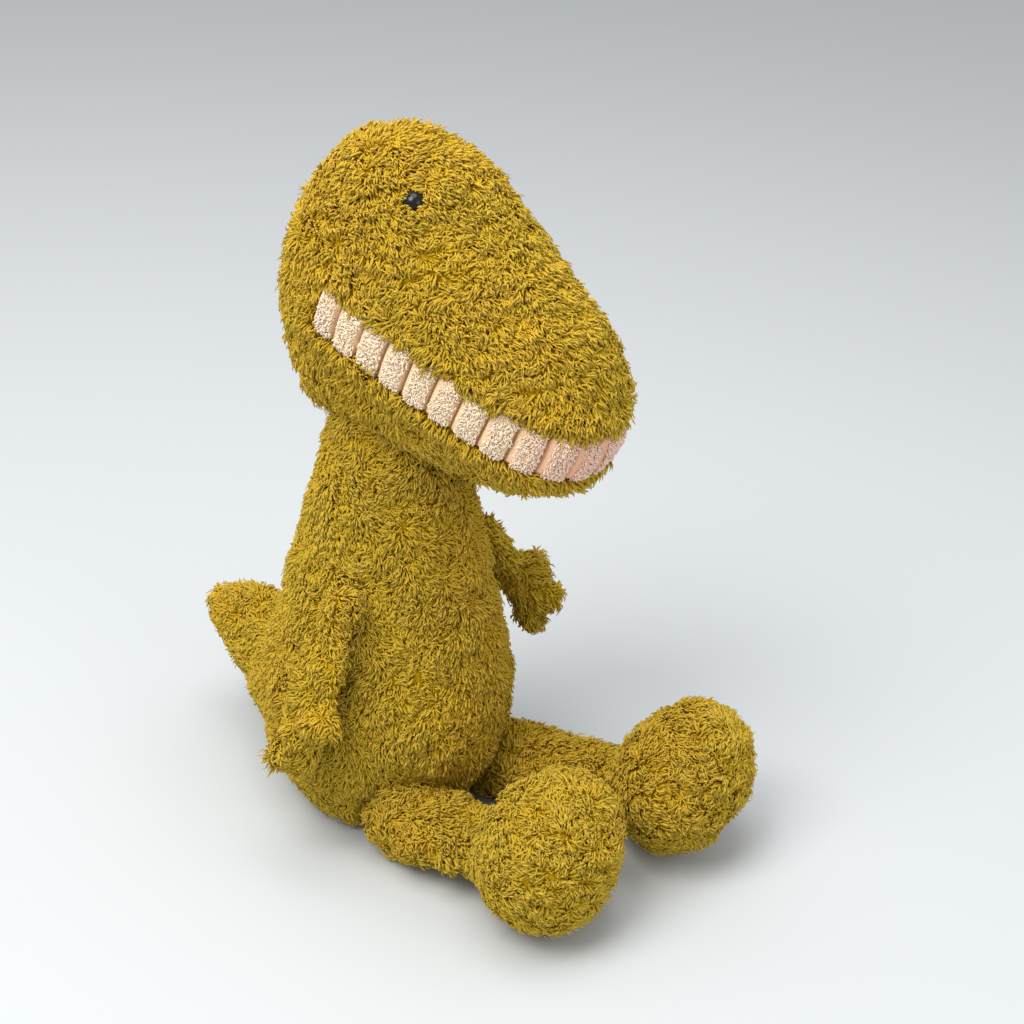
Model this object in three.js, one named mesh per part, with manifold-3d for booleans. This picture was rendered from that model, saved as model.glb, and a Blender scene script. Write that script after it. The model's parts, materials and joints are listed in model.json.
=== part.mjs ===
// A stuffed dinosaur that sits up: sewn pile covers over stuffing, with a bag of pellets in the seat and
// in each foot.  Millimetres, +Z up.  The toy faces -Y and its right side is -X.  The origin is on the
// floor, in the middle of the seat.
import * as THREE from 'three';
import { mergeVertices } from 'three/addons/utils/BufferGeometryUtils.js';
import Module from 'manifold-3d';

const wasm = await Module();
wasm.setup();

// --- driving dimensions -------------------------------------------------------------------------------

const PILE = 4; // backing cloth and pile together
const ARM_PILE = 3;
const GAP = 0.4; // left between two pieces that touch
const FAR = 400; // larger than the toy, for half spaces
const RIGHT = -1; // the side of the toy, as a factor on x
const LEFT = 1;

// Body: a pear that narrows to a neck.
const SEAT_RADIUS = 62;
const NECK_RADIUS = 32;
const BODY_FORM = {
  spine: [[0, 0, -14], [0, 0, 40], [0, 0, 84], [0, 0, 128], [0, -2, 168], [0, -4, 214]],
  wide: [58, SEAT_RADIUS, 52, 41, NECK_RADIUS + 3, NECK_RADIUS],
  high: [58, SEAT_RADIUS, 52, 41, NECK_RADIUS + 3, NECK_RADIUS],
  fullness: 3,
};
const SIDE_SEAM_Y = -10; // the belly panel is in front of this plane, the back panel behind it
const NECK_OPENING_Z = 206;
const BEAN_BAG_TOP = 28;

// Head, drawn with its origin in the crown and its snout along -Y, then pitched and turned.
const NECK_PIVOT = [0, -4, 186];
const NECK_BALL = 36;
const NECK_SEAM_Z = 176;
const HEAD_CENTRE = [0, -7, 239];
const HEAD_PITCH = 22; // nose down, degrees
const HEAD_TURN = 5; // to the toy's left, degrees
const HEAD_FORM = {
  spine: [[0, 52, -5], [0, 19, -2], [0, -13, -6], [0, -50, -6], [0, -80, -12], [0, -103, -17]],
  wide: [45, 43, 42, 41, 38, 34],
  high: [68, 71, 65, 48, 42, 28],
  fullness: 2.9,
};
const MOUTH_MIDDLE = -8;
const MOUTH_HEIGHT = 20;
const MOUTH_BACK_Y = 17;
const TOOTH_RECESS = 1; // how far the tooth band lies below the pile
const EYE_RADIUS = 4.5;
const EYE_Y = 1;
const EYE_ANGLE = 27; // from straight up, degrees
const EYE_DEPTH = 2.6; // how far the bead's middle lies below the pile
const SHANK_RADIUS = 1.6;
const SHANK_LENGTH = 10;
const WASHER_RADIUS = 7;
const WASHER_THICKNESS = 1.5;

// Limbs: each has a ball at its root, in a socket in the piece that carries it.
const SHOULDER_BALL = 10;
const HIP_BALL = 24;
const HIP_SOCKET = 29; // looser than the ball, so that the leg can lift
const ANKLE_BALL = 18;
const TAIL_BALL = 33;
const TAIL_SOCKET = 37; // looser than the ball, so that the tail can swing
const FINGER_RADIUS = 8;
const FOOT = { halfWidth: 35.5, halfDepth: 29, halfHeight: 36 };
const SOLE_SEAM = -12; // the sole is in front of this plane of the foot
const FOOT_BAG_TOP = -14;
// The tip of each finger is measured from the middle of the hand.
const ARMS = {
  right: { shoulder: [-46, -14, 117], hand: [-66, -11, 70], fingers: [[0, -19, 8], [1, 1, -24], [-6, 12, -23]] },
  left: { shoulder: [46, -14, 115], hand: [65, -24, 81], fingers: [[2, -8, 23], [3, -20, 3], [0, -9, -21]] },
};
const LEGS = {
  right: { hip: [-30, -38, 17.5], ankle: [-29, -86, 21], foot: [-31, -112, 36.6], turn: -6, roll: 11, lean: -3 },
  left: { hip: [30, -41, 17.5], ankle: [42, -99, 23], foot: [47, -127, 36.6], turn: 8, roll: 35, lean: 11 },
};
const TAIL = { pivot: [0, 36, 42], tip: [0, 109, 57.5], rootRadius: 25.5, tipRadius: 16 };

// --- geometry helpers ---------------------------------------------------------------------------------

const toRadians = THREE.MathUtils.degToRad;
const vector = (point) => new THREE.Vector3(...point);

// A closed soft form: a sphere drawn out along a smooth spine, with an oval section at each station.
// wide and high are half sizes.  fullness 2 gives an egg, and more gives fuller ends.  inset shrinks
// the form all round.
function softForm({ spine, wide, high, fullness, detail = [16, 11] }, inset = 0) {
  const path = new THREE.CatmullRomCurve3(spine.map(vector), false, 'catmullrom');
  const girth = new THREE.SplineCurve(wide.map((half, i) => new THREE.Vector2(half, high[i])));
  const margin = inset / path.getLength();
  const form = new THREE.SphereGeometry(1, ...detail);
  const places = form.getAttribute('position');
  const side = new THREE.Vector3();
  const up = new THREE.Vector3();
  const vertex = new THREE.Vector3();
  for (let i = 0; i < places.count; i += 1) {
    vertex.fromBufferAttribute(places, i);
    const travel = (1 - vertex.y) / 2;
    const station = margin + travel * (1 - 2 * margin);
    const half = girth.getPoint(station);
    const tangent = path.getTangent(station);
    side.set(1, 0, 0).addScaledVector(tangent, -tangent.x).normalize();
    up.crossVectors(tangent, side);
    const rounding = Math.max(0, 1 - Math.abs(2 * travel - 1) ** fullness) ** (1 / fullness);
    const reach = rounding / Math.max(Math.hypot(vertex.x, vertex.z), 1e-6);
    const place = path.getPoint(station);
    place.addScaledVector(side, vertex.x * reach * (half.x - inset));
    place.addScaledVector(up, vertex.z * reach * (half.y - inset));
    places.setXYZ(i, place.x, place.y, place.z);
  }
  return form;
}

function ball(radius, centre, detail = [14, 8]) {
  return new THREE.SphereGeometry(radius, ...detail).translate(...centre);
}

function block(low, high) {
  const size = high.map((value, i) => value - low[i]);
  const middle = high.map((value, i) => (value + low[i]) / 2);
  return new THREE.BoxGeometry(...size).translate(...middle);
}

const below = (z) => block([-FAR, -FAR, -FAR], [FAR, FAR, z]);
const above = (z) => block([-FAR, -FAR, z], [FAR, FAR, FAR]);
const inFrontOf = (y) => block([-FAR, -FAR, -FAR], [FAR, y, FAR]);
const behind = (y) => block([-FAR, y, -FAR], [FAR, FAR, FAR]);

function between(from, to, share) {
  return from.map((value, i) => value + (to[i] - value) * share);
}

// --- booleans -----------------------------------------------------------------------------------------

function solid(geometry) {
  const bare = geometry.clone();
  bare.deleteAttribute('normal');
  bare.deleteAttribute('uv');
  const merged = mergeVertices(bare, 1e-4);
  const vertProperties = new Float32Array(merged.getAttribute('position').array);
  const triVerts = new Uint32Array(merged.getIndex().array);
  return new wasm.Manifold(new wasm.Mesh({ numProp: 3, vertProperties, triVerts }));
}

function minus(body, ...cuts) {
  return cuts.reduce((rest, cut) => rest.subtract(solid(cut)), body);
}

// A cover is the outer form less the space for its stuffing.
function cover(form, pile, ...cuts) {
  return minus(solid(softForm(form)), softForm(form, pile), ...cuts);
}

function stuffingOf(form, pile, ...cuts) {
  return minus(solid(softForm(form, pile + GAP)), ...cuts);
}

function mesh(name, body, material) {
  const { vertProperties, triVerts } = body.getMesh();
  const geometry = new THREE.BufferGeometry();
  geometry.setAttribute('position', new THREE.BufferAttribute(new Float32Array(vertProperties), 3));
  geometry.setIndex(new THREE.BufferAttribute(new Uint32Array(triVerts), 1));
  geometry.computeVertexNormals();
  const piece = new THREE.Mesh(geometry, material);
  piece.name = name;
  return piece;
}

// --- materials ----------------------------------------------------------------------------------------

const matte = (color, roughness = 0.95) => new THREE.MeshStandardMaterial({ color, roughness, metalness: 0 });
const plush = matte(0x8a7a2c);
const toothPlush = matte(0xecd0a8);
const wadding = matte(0xf2f0ea);
const bagCloth = matte(0xd9d6cc);
const bead = matte(0x0a0a0b, 0.12);
const washerPlastic = matte(0xe8e8e8, 0.5);
const thread = matte(0x6e6326, 0.8);

// --- head ---------------------------------------------------------------------------------------------

const headTurn = new THREE.Quaternion().setFromEuler(
  new THREE.Euler(toRadians(HEAD_PITCH), 0, toRadians(HEAD_TURN), 'ZYX'),
);
const neckInHead = vector(NECK_PIVOT).sub(vector(HEAD_CENTRE)).applyQuaternion(headTurn.clone().invert());
const neckSocket = ball(NECK_BALL + GAP, neckInHead.toArray(), [18, 12]);
const mouthTop = MOUTH_MIDDLE + MOUTH_HEIGHT / 2;
const mouthBottom = MOUTH_MIDDLE - MOUTH_HEIGHT / 2;

// Where a line square to the head's spine, at the eye's angle, leaves the head.
function eyePlace(side) {
  const angle = toRadians(EYE_ANGLE);
  const direction = new THREE.Vector3(side * Math.sin(angle), 0, Math.cos(angle));
  const skin = new THREE.MeshBasicMaterial({ side: THREE.DoubleSide });
  const ray = new THREE.Raycaster(new THREE.Vector3(0, EYE_Y, 0), direction);
  return ray.intersectObject(new THREE.Mesh(softForm(HEAD_FORM), skin))[0].point;
}

function eyeParts(side) {
  const surface = eyePlace(side);
  const outward = surface.clone().sub(new THREE.Vector3(0, EYE_Y, 0)).normalize();
  const turn = new THREE.Quaternion().setFromUnitVectors(new THREE.Vector3(0, 1, 0), outward);
  const set = (geometry, depth) => {
    const at = surface.clone().addScaledVector(outward, -depth);
    return geometry.applyQuaternion(turn).translate(at.x, at.y, at.z);
  };
  const bar = (radius, length) => new THREE.CylinderGeometry(radius, radius, length, 10);
  const washerDepth = EYE_DEPTH + EYE_RADIUS + GAP + WASHER_THICKNESS / 2;
  const shankDepth = EYE_DEPTH + SHANK_LENGTH / 2;
  const room = WASHER_THICKNESS + 2 * GAP;
  return {
    bead: solid(set(ball(EYE_RADIUS, [0, 0, 0], [12, 8]), EYE_DEPTH))
      .add(solid(set(bar(SHANK_RADIUS, SHANK_LENGTH), shankDepth))),
    socket: set(ball(EYE_RADIUS + GAP, [0, 0, 0], [12, 8]), EYE_DEPTH),
    bore: set(bar(SHANK_RADIUS + GAP, SHANK_LENGTH + 2 * GAP), shankDepth),
    washer: solid(set(bar(WASHER_RADIUS, WASHER_THICKNESS), washerDepth)),
    washerRoom: set(bar(WASHER_RADIUS + GAP, room), washerDepth),
  };
}

const eyes = { right: eyeParts(RIGHT), left: eyeParts(LEFT) };
const eyeCuts = Object.values(eyes).flatMap(({ socket, bore, washerRoom }) => [socket, bore, washerRoom]);

// The mouth runs from one cheek round the snout to the other.  Behind it the two covers meet in a seam.
function headCover() {
  const mouth = block([-FAR, -FAR, -FAR], [FAR, MOUTH_BACK_Y, mouthTop + GAP / 2]);
  return cover(HEAD_FORM, PILE, mouth, below(MOUTH_MIDDLE + GAP / 2), neckSocket, ...eyeCuts);
}

function jawCover() {
  const mouth = block([-FAR, -FAR, mouthBottom - GAP / 2], [FAR, MOUTH_BACK_Y, FAR]);
  return cover(HEAD_FORM, PILE, mouth, above(MOUTH_MIDDLE - GAP / 2), neckSocket);
}

function toothBand() {
  const outside = [above(mouthTop - GAP / 2), below(mouthBottom + GAP / 2), behind(MOUTH_BACK_Y - GAP)];
  return minus(solid(softForm(HEAD_FORM, TOOTH_RECESS)), softForm(HEAD_FORM, PILE), ...outside);
}

function headGroup() {
  const head = new THREE.Group();
  head.position.set(...HEAD_CENTRE);
  head.quaternion.copy(headTurn);
  head.add(mesh('head_cover', headCover(), plush));
  head.add(mesh('jaw_cover', jawCover(), plush));
  head.add(mesh('tooth_band', toothBand(), toothPlush));
  head.add(mesh('head_stuffing', stuffingOf(HEAD_FORM, PILE, neckSocket, ...eyeCuts), wadding));
  for (const [side, parts] of Object.entries(eyes)) {
    head.add(mesh(`eye_${side}`, parts.bead, bead));
    head.add(mesh(`eye_washer_${side}`, minus(parts.washer, parts.bore), washerPlastic));
  }
  return head;
}

// --- body ---------------------------------------------------------------------------------------------

const limbSockets = [
  ...Object.values(ARMS).map(({ shoulder }) => ball(SHOULDER_BALL + GAP, shoulder)),
  ...Object.values(LEGS).map(({ hip }) => ball(HIP_SOCKET, hip)),
  ball(TAIL_SOCKET, TAIL.pivot, [16, 10]),
];

function bodyGroup() {
  const body = new THREE.Group();
  const space = minus(solid(softForm(BODY_FORM, PILE)), below(PILE));
  const cloth = minus(solid(softForm(BODY_FORM)), below(0), above(NECK_OPENING_Z), ...limbSockets).subtract(space);
  const room = stuffingOf(BODY_FORM, PILE, ...limbSockets);
  body.add(mesh('belly_cover', minus(cloth, behind(SIDE_SEAM_Y - GAP / 2)), plush));
  body.add(mesh('back_cover', minus(cloth, inFrontOf(SIDE_SEAM_Y + GAP / 2)), plush));
  body.add(mesh('body_stuffing', minus(room, below(BEAN_BAG_TOP + GAP)), wadding));
  body.add(mesh('seat_bean_bag', minus(room, above(BEAN_BAG_TOP), below(PILE + GAP)), bagCloth));
  return body;
}

function neckSeam() {
  const ring = new THREE.TorusGeometry(NECK_RADIUS + 1.6, 0.6, 5, 24);
  return mesh('neck_seam', solid(ring.translate(0, NECK_PIVOT[1], NECK_SEAM_Z)), thread);
}

// --- limbs --------------------------------------------------------------------------------------------

// An arm with its palm and three fingers.
function armSolid({ shoulder, hand, fingers }, inset) {
  const arm = {
    spine: [-0.12, 0.3, 0.65, 1.08].map((share) => between(shoulder, hand, share)),
    wide: [5, 5.5, 6.5, 7],
    high: [9, 11, 12, 12],
    fullness: 4,
    detail: [10, 7],
  };
  let whole = solid(softForm(arm, inset));
  for (const reach of fingers) {
    const tip = reach.map((value, i) => value + hand[i]);
    const finger = {
      spine: [between(hand, tip, -0.35), between(hand, tip, 0.5), tip],
      wide: [FINGER_RADIUS, FINGER_RADIUS, FINGER_RADIUS - 1],
      high: [FINGER_RADIUS, FINGER_RADIUS, FINGER_RADIUS - 1],
      fullness: 3,
      detail: [8, 5],
    };
    whole = whole.add(solid(softForm(finger, inset)));
  }
  return whole;
}

function armGroup(name) {
  const arm = new THREE.Group();
  const place = ARMS[name];
  const opening = ball(SHOULDER_BALL, between(place.shoulder, place.hand, -0.16));
  const cloth = minus(armSolid(place, 0).subtract(armSolid(place, ARM_PILE)), opening);
  arm.add(mesh(`arm_cover_${name}`, cloth, plush));
  arm.add(mesh(`arm_stuffing_${name}`, armSolid(place, ARM_PILE + GAP), wadding));
  return arm;
}

function legForm({ hip, ankle }) {
  return {
    spine: [-0.35, 0, 0.5, 1, 1.2].map((share) => between(hip, ankle, share)),
    wide: [18, 23.5, 21, 17.5, 13],
    high: [13, 16, 15.8, 14.5, 11],
    fullness: 4,
    detail: [12, 8],
  };
}

const FOOT_FORM = {
  spine: [-1, -0.4, 0.3, 1].map((share) => [0, 2 - 4 * share, share * FOOT.halfHeight]),
  wide: [0.8, 0.94, 1.04, 1].map((share) => share * FOOT.halfWidth),
  high: [0.93, 1, 1, 0.86].map((share) => share * FOOT.halfDepth),
  fullness: 2.3,
  detail: [14, 10],
};

function footGroup(name) {
  const { foot, ankle, turn, roll, lean } = LEGS[name];
  const group = new THREE.Group();
  group.position.set(...foot);
  group.rotation.set(toRadians(lean), toRadians(roll), toRadians(turn), 'ZYX');
  const ankleInFoot = vector(ankle).sub(group.position).applyQuaternion(group.quaternion.clone().invert());
  const socket = ball(ANKLE_BALL + GAP, ankleInFoot.toArray());
  const cloth = cover(FOOT_FORM, PILE, socket);
  const room = stuffingOf(FOOT_FORM, PILE, socket);
  group.add(mesh(`foot_cover_${name}`, minus(cloth, inFrontOf(SOLE_SEAM + GAP / 2)), plush));
  group.add(mesh(`sole_${name}`, minus(cloth, behind(SOLE_SEAM - GAP / 2)), plush));
  group.add(mesh(`foot_stuffing_${name}`, minus(room, below(FOOT_BAG_TOP + GAP)), wadding));
  group.add(mesh(`foot_bean_bag_${name}`, minus(room, above(FOOT_BAG_TOP)), bagCloth));
  return group;
}

function legGroup(name) {
  const leg = new THREE.Group();
  const { hip, ankle } = LEGS[name];
  const form = legForm(LEGS[name]);
  const openings = [ball(HIP_BALL, between(hip, ankle, -0.6)), ball(ANKLE_BALL, between(hip, ankle, 1.45))];
  leg.add(mesh(`leg_cover_${name}`, cover(form, PILE, ...openings), plush));
  leg.add(mesh(`leg_stuffing_${name}`, stuffingOf(form, PILE), wadding));
  leg.add(footGroup(name));
  return leg;
}

function tailGroup() {
  const tail = new THREE.Group();
  const { pivot, tip, rootRadius, tipRadius } = TAIL;
  const radii = [rootRadius - 1, rootRadius, (rootRadius + tipRadius) / 2, tipRadius];
  const form = {
    spine: [-0.3, 0.2, 0.6, 1].map((share) => between(pivot, tip, share)),
    wide: radii,
    high: radii,
    fullness: 2.6,
    detail: [14, 9],
  };
  tail.add(mesh('tail_cover', cover(form, PILE, ball(TAIL_BALL, between(pivot, tip, -0.55))), plush));
  tail.add(mesh('tail_stuffing', stuffingOf(form, PILE), wadding));
  return tail;
}

const dinosaur = new THREE.Group();
dinosaur.add(bodyGroup(), neckSeam(), headGroup(), tailGroup());
dinosaur.add(armGroup('right'), armGroup('left'), legGroup('right'), legGroup('left'));

export default dinosaur;
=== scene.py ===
"""Looks of a sitting plush dinosaur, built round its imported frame.

Metres, +Z up.  The toy faces -Y and its right side is -X.  Each stuffed piece is a skin: the frame's
solids joined, drawn in by the depth of the pile and blown up as cloth between its seams.  The arms are
only smoothed.  The pile is made of closed curled locks that grow from the skins.
"""

import itertools
import json
import math

import bmesh
import bpy
import numpy as np
from mathutils import Matrix, Vector
from mathutils.bvhtree import BVHTree
from mathutils.kdtree import KDTree


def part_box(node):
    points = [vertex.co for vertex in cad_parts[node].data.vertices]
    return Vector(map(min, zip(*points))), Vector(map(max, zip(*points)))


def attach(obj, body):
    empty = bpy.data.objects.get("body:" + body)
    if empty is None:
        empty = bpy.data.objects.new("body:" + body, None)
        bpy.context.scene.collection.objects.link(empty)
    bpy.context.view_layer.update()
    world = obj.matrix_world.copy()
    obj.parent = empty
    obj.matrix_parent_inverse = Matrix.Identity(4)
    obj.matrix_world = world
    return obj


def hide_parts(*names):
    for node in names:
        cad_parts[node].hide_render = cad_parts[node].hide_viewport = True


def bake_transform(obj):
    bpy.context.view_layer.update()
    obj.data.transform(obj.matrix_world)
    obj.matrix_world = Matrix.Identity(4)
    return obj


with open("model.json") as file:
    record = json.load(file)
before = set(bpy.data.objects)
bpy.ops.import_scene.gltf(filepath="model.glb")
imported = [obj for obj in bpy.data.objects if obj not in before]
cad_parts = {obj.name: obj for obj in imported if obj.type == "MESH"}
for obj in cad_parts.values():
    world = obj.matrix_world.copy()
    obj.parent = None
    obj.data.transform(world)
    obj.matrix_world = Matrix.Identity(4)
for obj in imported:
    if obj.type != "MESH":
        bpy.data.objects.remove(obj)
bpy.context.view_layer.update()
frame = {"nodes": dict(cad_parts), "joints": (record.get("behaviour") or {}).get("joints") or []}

# --- driving dimensions -------------------------------------------------------

MM = 0.001
SIDES = ("right", "left")

# Skins
VOXEL = 3 * MM
PILE_DEPTH = 3.4 * MM  # from the skin to the frame's outer face
ARM_PILE_DEPTH = 2.6 * MM
SHOULDER_FILL = 10 * MM  # these are radii of the balls that fill the sockets
HIP_FILL = 29 * MM
TAIL_FILL = 37 * MM
NECK_FILL = 38 * MM
ANKLE_FILL = 18.5 * MM
ARM_ROOT = 9 * MM  # these are radii of the balls that close a limb's root
LEG_ROOT = 21 * MM

# Cloth
SLACK = 1.0 * MM  # the skins are drawn in by this before they swell
SWELL_LIMIT = 2.2 * MM
PRESSURE = 4
CLOTH_FRAMES = 14
FREE = 0.02  # a point that a seam holds less firmly than this isn't pinned
SEAM_WIDTH = 2.5 * MM  # of the line that the thread holds
SEAM_DEPTH = 1.0 * MM

# Pile
SPACING = 0.96 * MM
LENGTH = 5.7 * MM
GIRTH = 0.42 * MM  # half of a lock's width
LOCK_GIRTHS = (0.8, 1.05, 0.95)  # at each ring, as a share of the girth, before the tip
LOCK_STEPS = (0.36, 0.38, 0.26)  # from each ring to the next, as a share of the length
LOCK_LEANS = (20, 68, 106)  # degrees from upright, ring by ring
LEAN_SPREAD = 12
LOCK_RIDGE = 0.8  # from the middle of a lock's section up to its ridge, as a share of the girth
LOCK_BELLY = 0.6  # and down to its flat side
LENGTH_RANGE = (0.75, 1.25)
GIRTH_RANGE = (0.75, 1.3)
SWAY = 40  # degrees sideways, now to one side and now to the other
STRAY = 16  # degrees from the way the pile is combed
ROOT_DEPTH = 0.5 * MM  # of a lock's first ring, below the skin
BURIED = 3 * MM  # no locks grow this deep inside another skin
TRIES_PER_ROOT = 8
SWIRL_WAVES = 24
SWIRL_TURN = 2.2  # radians that a usual wave turns through in one size
SWIRL_SIZE = 24 * MM
RUFFLE_SIZE = 6.5 * MM
RUFFLE = 0.55  # weight of the turns from tuft to tuft, beside the way the pile is combed
TUFT_LIFT = 0.2  # how much more some tufts stand up than others
TUFT_LENGTH = 0.12  # how much longer
UNEVEN_LIMIT = 1.5  # cuts off the extremes of both
PATCH_SIZE = 45 * MM
TUFT_SPACING = 4.2 * MM
TUFT_PULL = 0.75  # how far the tips in a tuft draw together
TUFT_CURVE = 1.5  # the higher, the nearer its tip a lock bends to its tuft
SWIRL_SEED, PATCH_SEED, RUFFLE_SEED, TUFT_SEED = 100, 200, 300, 400  # above the piece's own seed
SOLE_SEED = 60
FLOOR_CLEARANCE = 0.3 * MM

# Mouth and eyes
RIBS = 23
STEPS_PER_RIB = 12
BAND_ROWS = 14
BAND_BASE = 0.9 * MM  # from the skin to the bottom of the grooves
BAND_BULGE = 3.0 * MM
BAND_THICKNESS = 2.0 * MM
BAND_FULLNESS = 5  # of the band's section from edge to edge; more is flatter
RIB_FULLNESS = 3.2
RIB_ROUNDING = 0.45
FRONT_DEPTH = 30 * MM  # of the front of the mouth, where the ribs are pinker
MOUTH_SWEEP = 175  # degrees to each side of straight ahead
SWEEP_STEP = 0.25
OUTSIDE_HEAD = 0.2  # from the middle of the mouth
NAP_SPACING = 0.7 * MM
NAP_LENGTH = 2.2 * MM
NAP_GIRTH = 0.32 * MM
NAP_SEED = 40
NAP_SWIRL = 0.9
NAP_SWIRL_SIZE = 7 * MM
NAP_STRAY = 40
NAP_TUFTS = 1.8 * MM
BARE_SHARE = 0.24  # of each rib, beside its groove, has no nap
BARE_BLUR = 0.05
NAP_END = 0.93  # how far across a rib its nap goes
LIP_PUFF = 1.4 * MM
LIP_WIDTH = 5 * MM
EYE_RADIUS = 4.5 * MM
EYE_SINK = 1.4 * MM
EYE_HEIGHT = 0.94  # of the dome, as a share of its radius
DOME_ANGLE = 1.62  # radians, just past the widest place
DOME_STEPS = 22
BEAD_STEPS = 48
BEAD_RIM = [(1.03, -0.10), (1.0, -0.2), (0.8, -0.62)]  # radius and height, as shares of the bead's radius
SHANK_RADIUS = 1.6 * MM
SHANK_TOP = -0.8
SHANK_END = -2.4
WASHER_COVER = 2.0 * MM  # how far the skin rises over a washer
WASHER_REACH = 10 * MM
EYE_CLEARING = 2.5 * MM  # no locks grow this near the middle of an eye

joint_at = {joint["name"]: Vector(joint["pos_m"]) for joint in frame["joints"]}

# --- mesh helpers -------------------------------------------------------------


def add_object(name, mesh):
    piece = bpy.data.objects.new(name, mesh)
    bpy.context.scene.collection.objects.link(piece)
    return piece


def points_of(piece):
    points = np.empty(len(piece.data.vertices) * 3)
    piece.data.vertices.foreach_get("co", points)
    return points.reshape(-1, 3)


def normals_of(piece):
    normals = np.empty(len(piece.data.vertices) * 3)
    piece.data.vertex_normals.foreach_get("vector", normals)
    return normals.reshape(-1, 3)


def place_points(piece, points):
    piece.data.vertices.foreach_set("co", np.ascontiguousarray(points, np.float32).ravel())
    piece.data.update()


def shade_smooth(mesh):
    mesh.polygons.foreach_set("use_smooth", np.ones(len(mesh.polygons), bool))


def unit(vectors):
    return vectors / np.maximum(np.linalg.norm(vectors, axis=-1, keepdims=True), 1e-12)


def bake_modifiers(piece):
    """Puts what the modifiers make into the mesh itself."""
    shape = piece.evaluated_get(bpy.context.evaluated_depsgraph_get())
    mesh = bpy.data.meshes.new_from_object(shape)
    piece.modifiers.clear()
    old = piece.data
    piece.data = mesh
    bpy.data.meshes.remove(old)


def apply_modifier(piece, kind, **settings):
    """Puts what a modifier with these settings makes into the mesh itself."""
    change = piece.modifiers.new(kind, kind)
    for setting, value in settings.items():
        setattr(change, setting, value)
    bake_modifiers(piece)


def object_of(name, shape):
    """An object made of a bmesh, which is freed."""
    mesh = bpy.data.meshes.new(name)
    shape.to_mesh(mesh)
    shape.free()
    return add_object(name, mesh)


def edit(piece, change):
    """Runs change on a bmesh of the piece, and puts the result back."""
    shape = bmesh.new()
    shape.from_mesh(piece.data)
    change(shape)
    shape.to_mesh(piece.data)
    shape.free()


def copy_of_nodes(name, nodes):
    """One object that holds copies of these CAD nodes."""
    joined = bmesh.new()
    for node in nodes:
        joined.from_mesh(frame["nodes"][node].data)
    return object_of(name, joined)


def hull_of(piece):
    hull = bmesh.new()
    for point in points_of(piece):
        hull.verts.new(point)
    made = bmesh.ops.convex_hull(hull, input=hull.verts[:])
    inner = [part for part in made["geom_interior"] if isinstance(part, bmesh.types.BMVert)]
    bmesh.ops.delete(hull, geom=inner, context="VERTS")
    return object_of("hull", hull)


def add_sphere(shape, centre, radius):
    bmesh.ops.create_icosphere(shape, subdivisions=3, radius=radius, matrix=Matrix.Translation(centre))


def fill_socket(piece, centre, radius):
    """Adds the part of a ball that lies inside the piece's convex hull."""
    hull = hull_of(piece)
    ball = bmesh.new()
    add_sphere(ball, centre, radius)
    plug = object_of("plug", ball)
    apply_modifier(plug, "BOOLEAN", operation="INTERSECT", solver="EXACT", object=hull)
    edit(piece, lambda whole: whole.from_mesh(plug.data))
    for spare in (hull, plug):
        bpy.data.objects.remove(spare)


def smooth(piece, rounds):
    apply_modifier(piece, "SMOOTH", iterations=rounds, factor=0.5)


def draw_in(piece, depths):
    place_points(piece, points_of(piece) - normals_of(piece) * depths)


def swell(piece, held):
    """Blows the piece up as cloth.  held gives, for each point, how firmly a seam holds it, from 0 to 1."""
    start = points_of(piece)
    pins = piece.vertex_groups.new(name="seams")
    for i, weight in enumerate(held(start)):
        if weight > FREE:
            pins.add([i], float(weight), "REPLACE")
    cloth = piece.modifiers.new("cloth", "CLOTH")
    cloth.settings.use_pressure = True
    cloth.settings.uniform_pressure_force = PRESSURE
    cloth.settings.vertex_group_mass = pins.name
    cloth.settings.effector_weights.gravity = 0
    cloth.point_cache.frame_end = CLOTH_FRAMES
    scene = bpy.context.scene
    for step in range(1, CLOTH_FRAMES + 1):
        scene.frame_set(step)
    bake_modifiers(piece)
    scene.frame_set(1)
    piece.vertex_groups.clear()
    moved = points_of(piece) - start
    travel = np.linalg.norm(moved, axis=1, keepdims=True)
    place_points(piece, start + moved * np.minimum(1, SWELL_LIMIT / np.maximum(travel, 1e-9)))


# --- skins --------------------------------------------------------------------


def near(distances, width):
    """1 at no distance, falling smoothly to 0."""
    return np.exp(-((distances / width) ** 2))


def skin(name, nodes, sockets=(), roots=(), depth=PILE_DEPTH, rounds=8, seams=None):
    """The frame's solids as one closed form, drawn in by the depth of its pile and swollen as cloth."""
    form = copy_of_nodes(name, nodes)
    for centre, radius in sockets:
        fill_socket(form, centre, radius)
    for centre, radius in roots:
        edit(form, lambda whole: add_sphere(whole, centre, radius))
    apply_modifier(form, "REMESH", mode="VOXEL", voxel_size=VOXEL)
    smooth(form, rounds)
    if seams is None:
        draw_in(form, depth)
    else:
        draw_in(form, depth + SLACK)
        smooth(form, rounds=2)
        swell(form, seams)
    smooth(form, rounds=3)
    if seams is not None:
        draw_in(form, SEAM_DEPTH * seams(points_of(form))[:, None])
    apply_modifier(form, "SUBSURF", levels=1)
    shade_smooth(form.data)
    return form


body_nodes = ["belly_cover", "back_cover", "body_stuffing", "seat_bean_bag", "tail_cover", "tail_stuffing"]
head_nodes = ["head_cover", "jaw_cover", "tooth_band", "head_stuffing"]
arm_nodes = {side: [f"arm_cover_{side}", f"arm_stuffing_{side}"] for side in SIDES}
LEG_PARTS = ("leg_cover", "leg_stuffing", "foot_cover", "sole", "foot_stuffing", "foot_bean_bag")
leg_nodes = {side: [f"{part}_{side}" for part in LEG_PARTS] for side in SIDES}

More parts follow.
